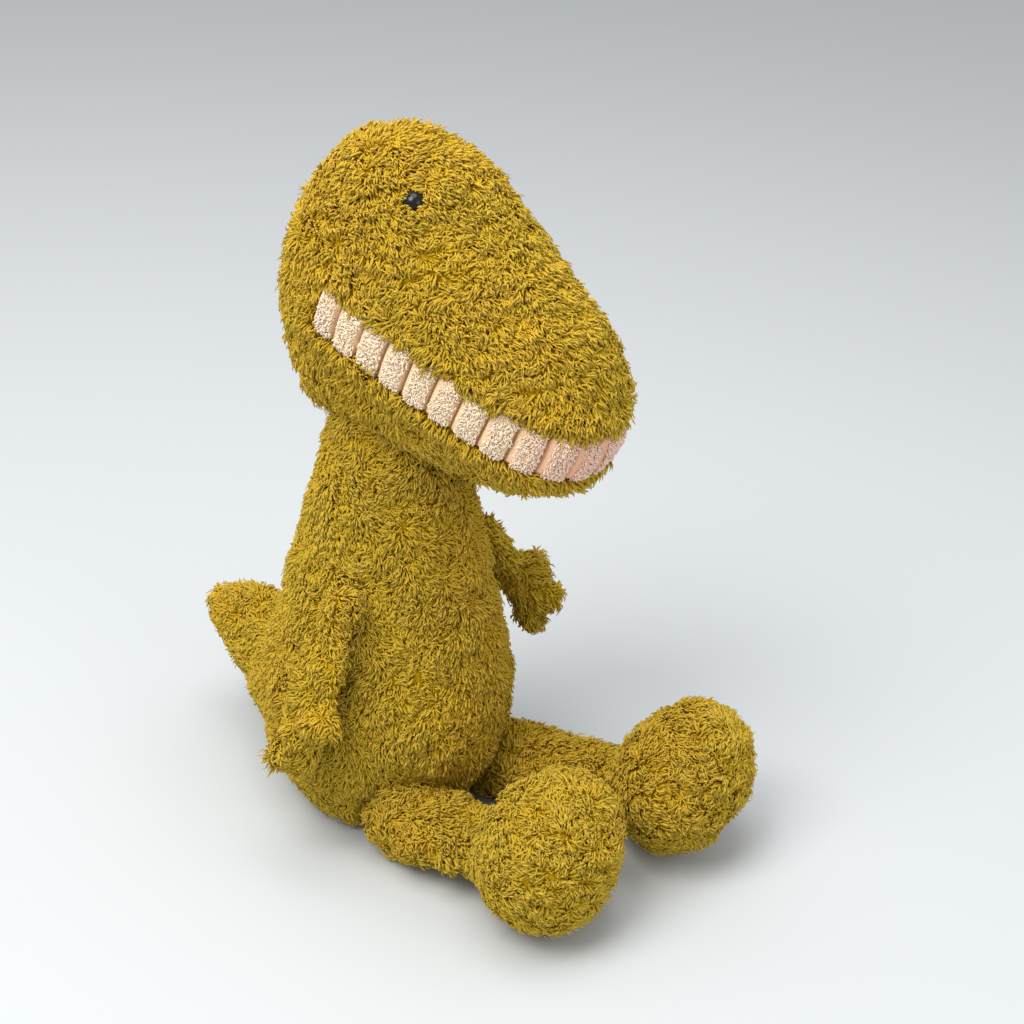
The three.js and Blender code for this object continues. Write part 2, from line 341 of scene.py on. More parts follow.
shoulder = {side: joint_at[f"arm_{side}_swing"] for side in SIDES}
hip = {side: joint_at[f"leg_{side}_lift"] for side in SIDES}
ankle = {side: joint_at[f"foot_{side}_roll"] for side in SIDES}
tail_root = joint_at["tail_swing"]
neck = joint_at["head_nod"]
side_seam_y = (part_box("belly_cover")[1].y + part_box("back_cover")[0].y) / 2


def middle_of(*nodes):
    """The mean of the corners of these CAD nodes."""
    return np.concatenate([points_of(frame["nodes"][node]) for node in nodes]).mean(axis=0)


def body_seams(points):
    """The two side seams, from the hips up to the neck."""
    held = near(points[:, 1] - side_seam_y, SEAM_WIDTH)
    held[points[:, 2] < hip["right"].z] = 0
    return held


def sole_of(side):
    """The way a foot's sole faces, and how far that way its seam lies."""
    facing = unit(middle_of(f"sole_{side}") - middle_of(f"foot_cover_{side}", f"sole_{side}"))
    return facing, (points_of(frame["nodes"][f"sole_{side}"]) @ facing).min()


def sole_seam(side):
    """The seam round a foot where its sole is sewn in."""
    facing, edge = sole_of(side)
    return lambda points: near(points @ facing - edge, SEAM_WIDTH) * (points[:, 1] < ankle[side].y)


def head_frame():
    """The head's own axes as rows: left, back and up.  Up is square to the tooth band's flat edges."""
    areas = {}
    for face in frame["nodes"]["tooth_band"].data.polygons:
        key = tuple(round(value, 2) for value in face.normal)
        total, normal = areas.get(key, (0, None))
        areas[key] = (total + face.area, np.array(face.normal))
    up = max(areas.values(), key=lambda entry: entry[0])[1]
    up = unit(up * math.copysign(1, up[2]))
    left = middle_of("eye_left") - middle_of("eye_right")
    left = unit(left - (left @ up) * up)
    return np.stack([left, np.cross(up, left), up])


head_axes = head_frame()
band_corners = points_of(frame["nodes"]["tooth_band"]) @ head_axes.T
mouth_low, mouth_high = band_corners.min(axis=0), band_corners.max(axis=0)
mouth_middle = (mouth_low + mouth_high) / 2
mouth_half_height = (mouth_high[2] - mouth_low[2]) / 2


def in_head(points):
    """Places as left, back and up in the head's own axes."""
    return points @ head_axes.T


def cheek_seams(points):
    """The seam behind each corner of the mouth."""
    local = in_head(points)
    held = near(local[:, 2] - mouth_middle[2], SEAM_WIDTH)
    held[local[:, 1] < mouth_high[1]] = 0
    return held


body_sockets = [(shoulder[side], SHOULDER_FILL) for side in SIDES]
body_sockets += [(hip[side], HIP_FILL) for side in SIDES]
body_sockets += [(tail_root, TAIL_FILL)]
body_skin = skin("body_skin", body_nodes, sockets=body_sockets, rounds=12, seams=body_seams)
head_skin = skin("head_skin", head_nodes, sockets=[(neck, NECK_FILL)], seams=cheek_seams)
arm_skin = {}
leg_skin = {}
for side in SIDES:
    arm_skin[side] = skin(f"arm_skin_{side}", arm_nodes[side], roots=[(shoulder[side], ARM_ROOT)],
                          depth=ARM_PILE_DEPTH, rounds=3)
    leg_skin[side] = skin(f"leg_skin_{side}", leg_nodes[side], sockets=[(ankle[side], ANKLE_FILL)],
                          roots=[(hip[side], LEG_ROOT)], seams=sole_seam(side))


def puff_lips():
    """Raises the head's skin above and below the tooth band."""
    local = in_head(points_of(head_skin))
    beyond = np.abs(local[:, 2] - mouth_middle[2]) - mouth_half_height
    lip = near(beyond - LIP_WIDTH / 2, LIP_WIDTH / 2) * (local[:, 1] < mouth_high[1] + LIP_WIDTH)
    draw_in(head_skin, -LIP_PUFF * lip[:, None])


puff_lips()


def cover_washers():
    """Raises the head's skin over the washers behind the eyes."""
    for side in SIDES:
        away = np.linalg.norm(points_of(head_skin) - middle_of(f"eye_washer_{side}"), axis=1)
        draw_in(head_skin, -WASHER_COVER * near(away, WASHER_REACH)[:, None])


cover_washers()

# --- surfaces -----------------------------------------------------------------


class Surface:
    """A skin's points, normals and triangles as arrays."""

    def __init__(self, piece):
        mesh = piece.data
        mesh.calc_loop_triangles()
        corners = np.empty(len(mesh.loop_triangles) * 3, np.int32)
        mesh.loop_triangles.foreach_get("vertices", corners)
        self.corners = corners.reshape(-1, 3)
        self.points = points_of(piece)
        self.normals = normals_of(piece)
        self.tree = BVHTree.FromPolygons(self.points.tolist(), self.corners.tolist())
        a, b, c = (self.points[self.corners[:, i]] for i in range(3))
        self.areas = np.linalg.norm(np.cross(b - a, c - a), axis=1) / 2

    def scatter(self, spacing, rng):
        """Random places on the surface, at most one in each cell of a grid of that spacing."""
        wanted = int(self.areas.sum() / spacing**2 * TRIES_PER_ROOT)
        chosen = rng.choice(len(self.areas), wanted, p=self.areas / self.areas.sum())
        share = rng.random((wanted, 2))
        over = share.sum(axis=1) > 1
        share[over] = 1 - share[over]
        weights = np.column_stack([1 - share.sum(axis=1), share])[:, :, None]
        places = (self.points[self.corners[chosen]] * weights).sum(axis=1)
        normals = unit((self.normals[self.corners[chosen]] * weights).sum(axis=1))
        cells = np.floor(places / spacing).astype(np.int64)
        first = np.sort(np.unique(cells, axis=0, return_index=True)[1])
        return places[first], normals[first]

    def depth_below(self, places):
        """How far inside the surface each place is, in metres; less than 0 outside."""
        depths = np.empty(len(places))
        for i, place in enumerate(places):
            near_place, normal, _, distance = self.tree.find_nearest(place)
            inside = (Vector(place) - near_place).dot(normal) < 0
            depths[i] = distance if inside else -distance
        return depths


surfaces = {"body": Surface(body_skin), "head": Surface(head_skin)}
for side in SIDES:
    surfaces[f"arm_{side}"] = Surface(arm_skin[side])
    surfaces[f"leg_{side}"] = Surface(leg_skin[side])


def along_surface(vectors, normals):
    return unit(vectors - (vectors * normals).sum(axis=1, keepdims=True) * normals)


def turned(vectors, axes, angles):
    """Vectors turned about axes that are square to them."""
    return vectors * np.cos(angles)[:, None] + np.cross(axes, vectors) * np.sin(angles)[:, None]


def swirl(places, size, seed):
    """A smooth random field of three numbers per place, made of waves about one size long."""
    rng = np.random.default_rng(seed)
    field = np.zeros((len(places), 3))
    for _ in range(SWIRL_WAVES):
        wave = rng.normal(size=3) * SWIRL_TURN / size
        phase = rng.random(3) * 2 * math.pi
        field += np.sin((places @ wave)[:, None] + phase) * rng.normal(size=3)
    return field / math.sqrt(SWIRL_WAVES / 2)


# --- locks of pile ------------------------------------------------------------


def tuft_offsets(places, spacing, rng):
    """From each place to the middle of its tuft."""
    cells = np.floor(places / spacing).astype(np.int64)
    order = rng.permutation(len(places))
    first = np.unique(cells[order], axis=0, return_index=True)[1]
    middles = places[order[first]]
    tree = KDTree(len(middles))
    for i, middle in enumerate(middles):
        tree.insert(middle, i)
    tree.balance()
    nearest = np.array([tree.find(place)[1] for place in places])
    return middles[nearest] - places


def lock_mesh(name, places, normals, flow, length, girth, lift, patch, rng, sway=1.0, tuft=TUFT_SPACING):
    """Closed wavy locks of pile, one from each place: a ridged section of three points on each ring.

    A lock leaves the skin at a steep angle and bends over along flow.  length, girth and lift may be one
    number or one for each place; lift makes a lock stand up more.  Three attributes go with each point:
    how far along its lock it is, the lock's own random tint, and its patch, a slow change from place to
    place.
    """
    count = len(places)
    length = length * rng.uniform(*LENGTH_RANGE, count)
    girth = girth * rng.uniform(*GIRTH_RANGE, count)
    tilt = rng.normal(0, LEAN_SPREAD, count)
    swing = rng.normal(0, SWAY * sway, count)
    pull = tuft_offsets(places, tuft, rng) * TUFT_PULL
    pull -= (pull * normals).sum(axis=1, keepdims=True) * normals
    heading = flow
    centre = places - normals * ROOT_DEPTH
    rings = []
    steps = len(LOCK_GIRTHS)
    for step in range(steps):
        angle = np.radians(LOCK_LEANS[step] + tilt) / lift
        ahead = normals * np.cos(angle)[:, None] + heading * np.sin(angle)[:, None]
        across = unit(np.cross(ahead, normals))
        over = np.cross(across, ahead)
        half = (girth * LOCK_GIRTHS[step])[:, None]
        drawn = centre + pull * (step / steps) ** TUFT_CURVE
        rings.append(drawn + over * half * LOCK_RIDGE)
        rings.append(drawn - over * half * LOCK_BELLY + across * half)
        rings.append(drawn - over * half * LOCK_BELLY - across * half)
        centre = centre + ahead * (length * LOCK_STEPS[step])[:, None]
        heading = turned(heading, normals, np.radians(swing if step % 2 else -swing))
    rings.append(centre + pull)
    points = np.stack(rings, axis=1)
    points[:, :, 2] = np.maximum(points[:, :, 2], FLOOR_CLEARANCE)
    along = np.repeat(np.arange(steps + 1) / steps, [3] * steps + [1])
    mesh = mesh_of_locks(name, points, steps, along)
    per_lock = points.shape[1]
    write_attribute(mesh, "along", np.tile(along, count))
    write_attribute(mesh, "tint", np.repeat(rng.random(count), per_lock))
    write_attribute(mesh, "patch", np.repeat(patch, per_lock))
    return add_object(name, mesh)


def mesh_of_locks(name, points, steps, along):
    """A mesh of closed locks.  points has one row for each lock: three to a ring, then the tip."""
    count, per_lock = points.shape[:2]
    faces = [(0, 2, 1)]
    for step in range(steps - 1):
        for i in range(3):
            low, next_low = 3 * step + i, 3 * step + (i + 1) % 3
            faces.append((low, next_low, next_low + 3))
            faces.append((low, next_low + 3, low + 3))
    last = 3 * (steps - 1)
    faces += [(last + i, last + (i + 1) % 3, per_lock - 1) for i in range(3)]
    faces = np.array(faces)
    corners = (faces[None] + np.arange(count)[:, None, None] * per_lock).reshape(-1, 3)
    mesh = bpy.data.meshes.new(name)
    mesh.vertices.add(count * per_lock)
    mesh.vertices.foreach_set("co", points.astype(np.float32).ravel())
    mesh.loops.add(corners.size)
    mesh.loops.foreach_set("vertex_index", corners.astype(np.int32).ravel())
    mesh.polygons.add(len(corners))
    mesh.polygons.foreach_set("loop_start", np.arange(0, corners.size, 3, dtype=np.int32))
    shade_smooth(mesh)
    write_bake_cells(mesh, corners, count, along, per_lock)
    mesh.update(calc_edges=True)
    return mesh


def write_attribute(mesh, name, values):
    attribute = mesh.attributes.new(name, "FLOAT", "POINT")
    attribute.data.foreach_set("value", values.astype(np.float32))


def write_bake_cells(mesh, corners, count, along, per_lock):
    """A texture map for baking, in which each lock has a square cell of its own."""
    across = np.append(np.tile([0.5, 0.0, 1.0], (per_lock - 1) // 3), 0.5)
    rows = math.ceil(math.sqrt(count))
    index = np.arange(count)
    margin = 0.15
    cell = np.stack([index % rows, index // rows], axis=1)[:, None, :]
    inside = np.stack([across, along], axis=1)[None] * (1 - 2 * margin) + margin
    places = ((cell + inside) / rows).reshape(-1, 2)
    layer = mesh.uv_layers.new(name="OFBake")
    layer.data.foreach_set("uv", places[corners.ravel()].astype(np.float32).ravel())


# --- tooth band ---------------------------------------------------------------


def mouth_path(samples):
    """Directions from the middle of the mouth to its edge, evenly spaced from right corner to left."""
    angles = np.radians(np.arange(-MOUTH_SWEEP, MOUTH_SWEEP, SWEEP_STEP))
    edge = np.array([on_head(angle, 0)[0] for angle in angles])
    ahead = in_head(edge)[:, 1] < mouth_high[1]
    angles, edge = angles[ahead], edge[ahead]
    lengths = np.append(0, np.cumsum(np.linalg.norm(np.diff(edge, axis=0), axis=1)))
    return np.interp(np.linspace(0, lengths[-1], samples), lengths, angles)


def on_head(angle, height):
    """Where the head's skin is, that way from the middle of the mouth: the place and its normal."""
    outward = math.sin(angle) * head_axes[0] - math.cos(angle) * head_axes[1]
    middle = (mouth_middle + [0, 0, height]) @ head_axes
    far = Vector(middle + outward * OUTSIDE_HEAD)
    place, normal, _, _ = surfaces["head"].tree.ray_cast(far, Vector(-outward))
    return np.array(place), np.array(normal)


def pillow(share):
    """The crown of a rib across its width, from 0 in the grooves to 1."""
    return (1 - np.abs(2 * share - 1) ** RIB_FULLNESS) ** RIB_ROUNDING


def tooth_band():
    """The ribbed band: an outer face that follows the head's skin, and an inner face below it."""
    columns = RIBS * STEPS_PER_RIB + 1
    angles = mouth_path(columns)
    rows = np.linspace(-1, 1, BAND_ROWS)
    hits = [[on_head(angle, row * mouth_half_height) for row in rows] for angle in angles]
    base = np.array([[place for place, _ in column] for column in hits])
    normals = np.array([[normal for _, normal in column] for column in hits])
    normals = unit(moving_average(normals, STEPS_PER_RIB))
    base = moving_average(base, STEPS_PER_RIB // 2)
    across = np.arange(columns) / STEPS_PER_RIB
    crown = pillow(across % 1)
    crown[0] = crown[-1] = 0
    edge = (1 - np.abs(rows) ** BAND_FULLNESS) ** 0.5
    rise = BAND_BASE + BAND_BULGE * crown[:, None] * edge[None, :]
    outer = base + normals * rise[:, :, None]
    inner = base + normals * (BAND_BASE - BAND_THICKNESS)
    count = columns * BAND_ROWS
    grid = np.arange(count).reshape(columns, BAND_ROWS)
    faces = []
    for i in range(columns - 1):
        for j in range(BAND_ROWS - 1):
            ring = (grid[i, j], grid[i + 1, j], grid[i + 1, j + 1], grid[i, j + 1])
            faces.append(ring)
            faces.append(tuple(count + corner for corner in reversed(ring)))
    rim = [*grid[:, 0], *grid[-1, 1:], *grid[-2::-1, -1], *grid[0, -2:0:-1]]
    for first, second in zip(rim, rim[1:] + rim[:1]):
        faces.append((first, first + count, second + count, second))
    mesh = bpy.data.meshes.new("tooth_ribs")
    mesh.from_pydata(np.concatenate([outer.reshape(-1, 3), inner.reshape(-1, 3)]).tolist(), [], faces)
    mesh.validate()
    write_attribute(mesh, "groove", np.tile(np.repeat(1 - crown, BAND_ROWS), 2))
    write_attribute(mesh, "patch", np.tile(front_share(outer.reshape(-1, 3)), 2))
    shade_smooth(mesh)
    ribs = add_object("tooth_ribs", mesh)
    edit(ribs, lambda shape: bmesh.ops.recalc_face_normals(shape, faces=shape.faces[:]))
    return ribs, across, outer, normals


def moving_average(grid, reach):
    """Each column of a grid of points averaged with its neighbours up to reach columns away."""
    padded = np.concatenate([np.repeat(grid[:1], reach, axis=0), grid, np.repeat(grid[-1:], reach, axis=0)])
    return np.mean([padded[i:i + len(grid)] for i in range(2 * reach + 1)], axis=0)


def front_share(places):
    """0 along the cheeks, rising to 1 at the front of the mouth."""
    local = in_head(places)
    return np.clip(1 - (local[:, 1] - mouth_low[1]) / FRONT_DEPTH, 0, 1)


def tooth_nap(across, outer, normals):
    """Short locks on the ribs, which leave the grooves and one side of each rib bare."""
    rng = np.random.default_rng(NAP_SEED)
    columns, rows = outer.shape[:2]
    steps = np.linalg.norm(np.diff(outer[:, rows // 2], axis=0), axis=1).sum() / NAP_SPACING
    lines = 2 * mouth_half_height / NAP_SPACING
    along, up = np.meshgrid(np.arange(int(steps)) / int(steps), np.arange(int(lines)) / int(lines))
    along = (along.ravel() + rng.random(along.size) / steps) * (columns - 1)
    up = (up.ravel() + rng.random(up.size) / lines) * (rows - 1)
    share = np.interp(along, np.arange(columns), across) % 1
    kept = (share > BARE_SHARE + rng.normal(0, BARE_BLUR, share.size)) & (share < NAP_END)
    along, up = along[kept], up[kept]
    i, j = along.astype(int), up.astype(int)
    s, t = (along - i)[:, None], (up - j)[:, None]
    places = (outer[i, j] * (1 - s) * (1 - t) + outer[i + 1, j] * s * (1 - t)
              + outer[i, j + 1] * (1 - s) * t + outer[i + 1, j + 1] * s * t)
    out = normals[i, j]
    flow = along_surface(-head_axes[2] + NAP_SWIRL * swirl(places, NAP_SWIRL_SIZE, NAP_SEED + 1), out)
    flow = turned(flow, out, np.radians(rng.normal(0, NAP_STRAY, len(places))))
    return lock_mesh("tooth_nap", places, out, flow, NAP_LENGTH, NAP_GIRTH, lift=1.5, sway=0.8,
                     tuft=NAP_TUFTS, patch=front_share(places), rng=rng)


tooth_ribs, rib_across, rib_outer, rib_normals = tooth_band()
nap = tooth_nap(rib_across, rib_outer, rib_normals)

# --- eyes ---------------------------------------------------------------------


def eye_place(side):
    """The middle of an eye's bead and the way it faces, which is away from its washer."""
    washer = middle_of(f"eye_washer_{side}")
    corners = points_of(frame["nodes"][f"eye_{side}"])
    tip = corners[np.linalg.norm(corners - washer, axis=1).argmax()]
    facing = unit(tip - washer)
    return tip - facing * (EYE_RADIUS + EYE_SINK), facing


def eye_bead(side):
    """A polished bead with a slightly flattened dome, a fine rim at its edge, and its shank."""
    middle, facing = eye_place(side)
    dome = [(math.sin(a), math.cos(a) * EYE_HEIGHT) for a in np.linspace(0, DOME_ANGLE, DOME_STEPS)]
    thin = SHANK_RADIUS / EYE_RADIUS
    outline = dome + BEAD_RIM + [(thin, SHANK_TOP), (thin, SHANK_END), (0, SHANK_END)]
    shape = bmesh.new()
    profile = [shape.verts.new((out * EYE_RADIUS, 0, up * EYE_RADIUS)) for out, up in outline]
    edges = [shape.edges.new(pair) for pair in zip(profile, profile[1:])]
    bmesh.ops.spin(shape, geom=profile + edges, cent=(0, 0, 0), axis=(0, 0, 1), angle=2 * math.pi,
                   steps=BEAD_STEPS)
    bmesh.ops.remove_doubles(shape, verts=shape.verts[:], dist=1e-6)
    bmesh.ops.recalc_face_normals(shape, faces=shape.faces[:])
    bead = object_of(f"eye_bead_{side}", shape)
    shade_smooth(bead.data)
    turn = Vector(facing).to_track_quat("Z", "Y").to_matrix().to_4x4()
    bead.data.transform(Matrix.Translation(middle) @ turn)
    return bead


eye_beads = {side: eye_bead(side) for side in SIDES}

# --- pile of each piece -------------------------------------------------------

COMB_FORWARDS = 0.7  # how the head's pile is combed: forwards, and down above and below the mouth
COMB_ABOVE = 0.55
COMB_BELOW = 1.0
LIP_COMB = 9 * MM  # this near the mouth the pile is combed further down
LIP_ABOVE = 1.2
LIP_BELOW = 0.3
LIP_FULLNESS = 6 * MM  # this near the mouth the locks are fuller
LIP_LIFT = 0.25
LIP_LENGTH = 0.2
EYE_TRIM_WIDTH = 8 * MM
EYE_TRIM = 0.15
ARM_LENGTH = 0.9  # of the locks at the shoulder, and how much they gain towards the fingers
FINGER_LENGTH = 0.25
ARM_GIRTH = 0.95


def outside(places, *names):
    """Which places aren't deep inside these other skins."""
    wanted = np.ones(len(places), bool)
    for name in names:
        wanted &= surfaces[name].depth_below(places) < BURIED
    return wanted


def grow(surface, panels, flow, hidden_in=(), keep=None, shape=None, swirling=0.5, seed=0):
    """Locks over a skin, as one piece for each panel.

    panels gives, for each piece's name, which places it holds.  flow gives the way to comb each place,
    keep tells which places to use, and shape changes the locks' length, girth and lift.
    """
    rng = np.random.default_rng(seed)
    places, normals = surfaces[surface].scatter(SPACING, rng)
    wanted = outside(places, *hidden_in)
    if keep is not None:
        wanted &= keep(places)
    places, normals = places[wanted], normals[wanted]
    combed = unit(flow(places)) + swirling * swirl(places, SWIRL_SIZE, seed + SWIRL_SEED)
    combed += RUFFLE * swirl(places, RUFFLE_SIZE, seed + RUFFLE_SEED)
    combed = turned(along_surface(combed, normals), normals, np.radians(rng.normal(0, STRAY, len(places))))
    patch = np.clip(swirl(places, PATCH_SIZE, seed + PATCH_SEED)[:, 0] * 0.5 + 0.5, 0, 1)
    uneven = np.clip(swirl(places, RUFFLE_SIZE, seed + TUFT_SEED)[:, 0], -UNEVEN_LIMIT, UNEVEN_LIMIT)
    looks = dict(length=LENGTH * (1 + TUFT_LENGTH * uneven), girth=np.full(len(places), GIRTH),
                 lift=1 + TUFT_LIFT * uneven)
    if shape is not None:
        shape(places, looks)
    made = {}
    for name, holds in panels.items():
        chosen = holds(places)
        given = {key: values[chosen] for key, values in looks.items()}
        made[name] = lock_mesh(name, places[chosen], normals[chosen], combed[chosen], rng=rng,
                               patch=patch[chosen], **given)
    return made


def mouth_gap(places):
    """How far each place is above or below the tooth band's edge; less than 0 on the band."""
    local = in_head(places)
    height = np.abs(local[:, 2] - mouth_middle[2]) - mouth_half_height
    behind = local[:, 1] - mouth_high[1]
    return np.maximum(height, behind)


def head_keep(places):
    kept = mouth_gap(places) > 0
    for side in SIDES:
        middle, facing = eye_place(side)
        offset = places - middle
        kept &= np.linalg.norm(offset - (offset @ facing)[:, None] * facing, axis=1) > EYE_CLEARING
    return kept


def head_flow(places):
    """Forwards over the snout, down the cheeks, and over both lips of the mouth."""
    above = in_head(places)[:, 2] > mouth_middle[2]
    lip = near(mouth_gap(places), LIP_COMB)
    down = np.where(above, COMB_ABOVE, COMB_BELOW) + np.where(above, LIP_ABOVE, LIP_BELOW) * lip
    combed = np.stack([np.zeros(len(places)), -np.full(len(places), COMB_FORWARDS), -down], axis=1)
    return combed @ head_axes


def head_shape(places, looks):
    """Fuller locks over the lips, and shorter ones round the eyes."""
    lip = near(mouth_gap(places), LIP_FULLNESS)
    looks["lift"] += LIP_LIFT * lip
    looks["length"] += LIP_LENGTH * lip * LENGTH
    for side in SIDES:
        middle, _ = eye_place(side)
        close = near(np.linalg.norm(places - middle, axis=1), EYE_TRIM_WIDTH)
        looks["length"] -= EYE_TRIM * close * LENGTH


def arm_shape(side):
    """Slim locks, longer towards the fingers."""
    root = np.array(shoulder[side])
    tips = middle_of(f"arm_cover_{side}") * 2 - root

    def shape(places, looks):
        share = np.linalg.norm(places - root, axis=1)
        share = np.clip(share / np.linalg.norm(tips - root), 0, 1)
        looks["length"] *= ARM_LENGTH + FINGER_LENGTH * share**2
        looks["girth"] *= ARM_GIRTH
    return shape


def away_from(point):
    return lambda places: places - np.array(point)


def leg_flow(side, sole_test):
    """Away from the hip, and every way on the sole."""
    def flow(places):
        combed = unit(places - np.array(hip[side]))
        ruffled = unit(swirl(places, RUFFLE_SIZE, SOLE_SEED))
        return np.where(sole_test(places)[:, None], ruffled, combed)
    return flow


def everywhere(places):
    return np.ones(len(places), bool)


pile = {}  # each piece of pile, and the body it rides on


def lay_pile(made, body):
    pile.update({name: (piece, body) for name, piece in made.items()})


WAIST_Z = 95 * MM
TAIL_START_Y = 50 * MM  # behind this the pile belongs to the tail


def on_tail(places):
    """The tail beyond the back panel."""
    return places[:, 1] > TAIL_START_Y


def body_panel(front, high, right):
    def holds(places):
        held = ~on_tail(places)
        held &= (places[:, 1] < side_seam_y) == front
        held &= (places[:, 2] > WAIST_Z) == high
        return held & ((places[:, 0] < 0) == right)
    return holds


body_panels = {}
for panel, level, side in itertools.product(("belly", "back"), ("upper", "lower"), SIDES):
    holds = body_panel(front=panel == "belly", high=level == "upper", right=side == "right")
    body_panels[f"{panel}_pile_{level}_{side}"] = holds
body_panels["tail_pile"] = on_tail


def body_flow(places):
    """Down the body, and back along the tail."""
    combed = np.tile((0.0, 0.0, -1.0), (len(places), 1))
    combed[on_tail(places)] = (0.0, 1.0, -0.3)
    return combed


def head_panel(part, right):
    def holds(places):
        left, behind, above = (in_head(places) > mouth_middle).T
        held = {"crown": above & behind, "snout": above & ~behind, "jaw": ~above}[part]
        return held & (left != right)
    return holds


head_panels = {f"{part}_pile_{side}": head_panel(part, side == "right")
               for side in SIDES for part in ("crown", "snout", "jaw")}


def on_sole(side):
    facing, edge = sole_of(side)
    return lambda places: (places @ facing > edge) & (places[:, 1] < ankle[side].y)


lay_pile(grow("body", body_panels, body_flow, hidden_in=["head"], seed=1), "body")
lay_pile(grow("head", head_panels, head_flow, hidden_in=["body"], keep=head_keep, shape=head_shape,
              swirling=0.45, seed=2), "head")
for i, side in enumerate(SIDES):
    sole_test = on_sole(side)
    leg_panels = {
        f"leg_pile_{side}": lambda places: places[:, 1] > ankle[side].y,
        f"foot_pile_{side}": lambda places: (places[:, 1] <= ankle[side].y) & ~sole_test(places),
        f"sole_pile_{side}": sole_test,
    }
    lay_pile(grow(f"arm_{side}", {f"arm_pile_{side}": everywhere}, away_from(shoulder[side]),
                  hidden_in=["body"], shape=arm_shape(side), swirling=0.4, seed=3 + i), f"arm_{side}")
    lay_pile(grow(f"leg_{side}", leg_panels, leg_flow(side, sole_test), hidden_in=["body"], seed=5 + i),
             f"leg_{side}")

# --- materials ----------------------------------------------------------------


class Paint:
    """A material and short ways to add its nodes."""

    def __init__(self, name, roughness, specular=0.2):
        self.material = bpy.data.materials.new(name)
        self.material.use_nodes = True
        self.nodes = self.material.node_tree.nodes
        self.shader = self.nodes["Principled BSDF"]
        self.shader.inputs["Roughness"].default_value = roughness
        self.shader.inputs["Specular IOR Level"].default_value = specular

    def link(self, source, target):
        self.material.node_tree.links.new(source, target)

    def attribute(self, name):
        node = self.nodes.new("ShaderNodeAttribute")
        node.attribute_name = name
        return node.outputs["Fac"]

    def noise(self, size, detail=3):
        """Noise whose lumps are about one size long."""
        place = self.nodes.new("ShaderNodeTexCoord")
        node = self.nodes.new("ShaderNodeTexNoise")
        node.inputs["Scale"].default_value = 1 / size
        node.inputs["Detail"].default_value = detail
        self.link(place.outputs["Object"], node.inputs["Vector"])
        return node.outputs["Fac"]

    def ramp(self, factor, stops):
        node = self.nodes.new("ShaderNodeValToRGB")
        band = node.color_ramp
        while len(band.elements) < len(stops):
            band.elements.new(1.0)
        for element, (position, colour) in zip(band.elements, stops):
            element.position = position
            element.color = (*colour, 1)
        self.link(factor, node.inputs["Fac"])
        return node.outputs["Color"]

    def map(self, value, low, high):
        node = self.nodes.new("ShaderNodeMapRange")
        node.inputs["To Min"].default_value = low
        node.inputs["To Max"].default_value = high
        self.link(value, node.inputs["Value"])
        return node.outputs["Result"]

    def mix(self, factor, first, second, mode="MIX"):
        """first and second are colours, or sockets that give colours."""
        node = self.nodes.new("ShaderNodeMix")
        node.data_type = "RGBA"
        node.blend_type = mode
        for socket, given in ((node.inputs[6], first), (node.inputs[7], second)):
            if isinstance(given, tuple):
                socket.default_value = (*given, 1)
            else:
                self.link(given, socket)
        if isinstance(factor, float):
            node.inputs[0].default_value = factor
        else:
            self.link(factor, node.inputs[0])
        return node.outputs[2]

    def brighten(self, colour, value):
        node = self.nodes.new("ShaderNodeHueSaturation")
        self.link(value, node.inputs["Value"])
        self.link(colour, node.inputs["Color"])
        return node.outputs["Color"]

    def bump(self, height, strength, distance):
        node = self.nodes.new("ShaderNodeBump")
        node.inputs["Strength"].default_value = strength
        node.inputs["Distance"].default_value = distance
        self.link(height, node.inputs["Height"])
        self.link(node.outputs["Normal"], self.shader.inputs["Normal"])

    def colour(self, colour):
        self.link(colour, self.shader.inputs["Base Color"])


def plush_paint():
    """Olive pile: yellow brown at the roots, paler at the tips, with greener and browner patches. The
    darker roots are painted shade deep in the pile.
    """
    paint = Paint("plush", roughness=0.9, specular=0.0)
    # the ramp darkens each lock towards its root: painted shade deep in the pile
    depth = paint.ramp(paint.attribute("along"), [(0.05, (0.56, 0.36, 0.018)), (0.45, (0.56, 0.38, 0.032)),
                                                  (0.95, (0.56, 0.405, 0.070))])
    lock = paint.brighten(depth, paint.map(paint.attribute("tint"), 0.95, 1.05))
    green = paint.mix(1.0, lock, (0.98, 1.0, 0.98), "MULTIPLY")
    brown = paint.mix(1.0, lock, (1.02, 0.99, 0.98), "MULTIPLY")
    patched = paint.mix(paint.attribute("patch"), green, brown)
    fibre = paint.noise(0.45 * MM)
    paint.colour(paint.brighten(patched, paint.map(fibre, 0.9, 1.1)))
    paint.bump(fibre, 0.2, 0.1 * MM)
    return paint.material


def backing_paint():
    """The knitted cloth that the pile grows from."""
    paint = Paint("backing", roughness=0.95, specular=0.0)
    knit = paint.noise(0.7 * MM, detail=1)
    paint.colour(paint.ramp(knit, [(0.35, (0.46, 0.28, 0.006)), (0.65, (0.62, 0.39, 0.010))]))
    paint.bump(knit, 0.6, 0.3 * MM)
    return paint.material


CREAM = (0.97, 0.82, 0.64)
PINK_CREAM = (0.95, 0.69, 0.58)


def nap_paint():
    """Short cream nap, pinker at the front of the mouth, and darker towards its roots as painted shade."""
    paint = Paint("tooth_nap", roughness=0.8, specular=0.05)
    base = paint.mix(paint.attribute("patch"), CREAM, PINK_CREAM)
    # darker towards the roots of the nap: painted shade deep in the nap
    shade = paint.map(paint.attribute("along"), 0.9, 1.03)
    tint = paint.map(paint.attribute("tint"), 0.93, 1.07)
    paint.colour(paint.brighten(paint.brighten(base, shade), tint))
    paint.bump(paint.noise(0.3 * MM), 0.2, 0.1 * MM)
    return paint.material


